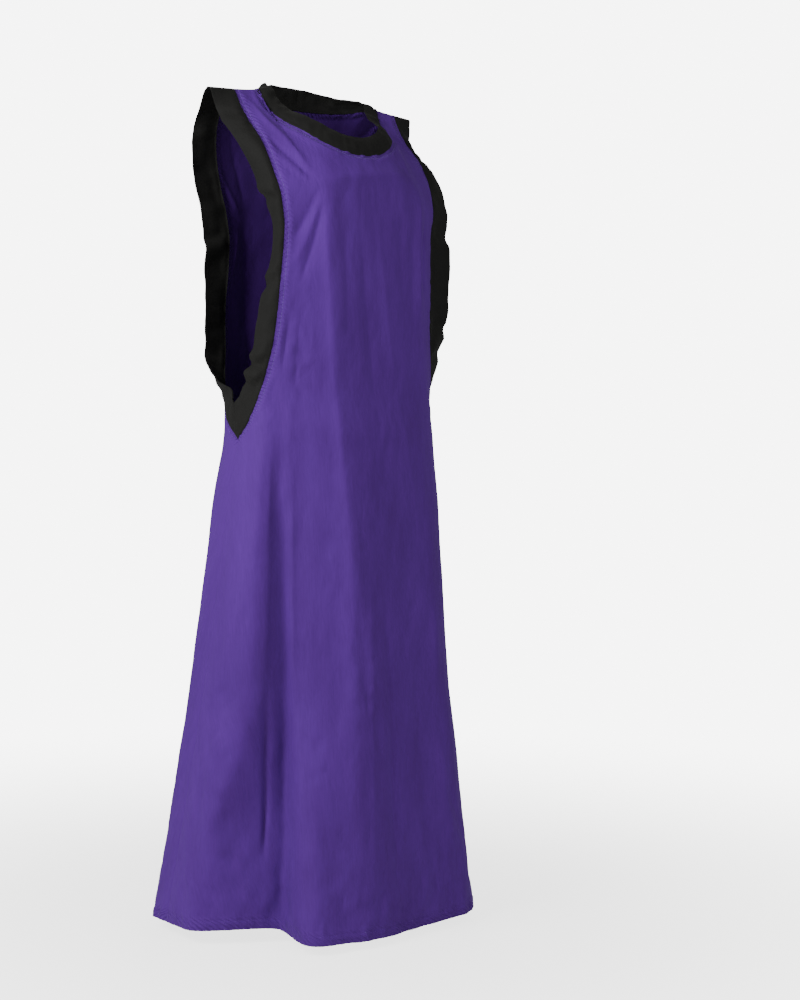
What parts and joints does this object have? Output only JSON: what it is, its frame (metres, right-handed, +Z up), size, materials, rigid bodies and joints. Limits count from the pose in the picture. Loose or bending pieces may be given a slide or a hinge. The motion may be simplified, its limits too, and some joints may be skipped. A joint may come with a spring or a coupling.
{
  "type": "sideless surcoat dress",
  "caption": "Sleeveless A-line overdress with a scooped neck and large hip-deep armholes edged in dark bands, hanging in soft folds to a hemmed skirt.",
  "frame": {"origin": "middle of the shoulder line, where the wearer carries the garment", "axes": "+Z up, the front faces -Y, the wearer's left is +X"},
  "size_m": [0.5837, 0.4488, 1.3833],
  "materials": {
    "purple_cotton": "plain woven cotton, semi-matte, soft sheen",
    "black_twill": "black cotton twill, matte"
  },
  "bodies": {
    "root": {"front_panel": "purple_cotton", "back_panel": "purple_cotton", "neck_band_front": "black_twill", "neck_band_back": "black_twill", "armhole_band_front_right": "black_twill", "armhole_band_front_left": "black_twill", "armhole_band_back_right": "black_twill", "armhole_band_back_left": "black_twill"}
  },
  "joints": []
}
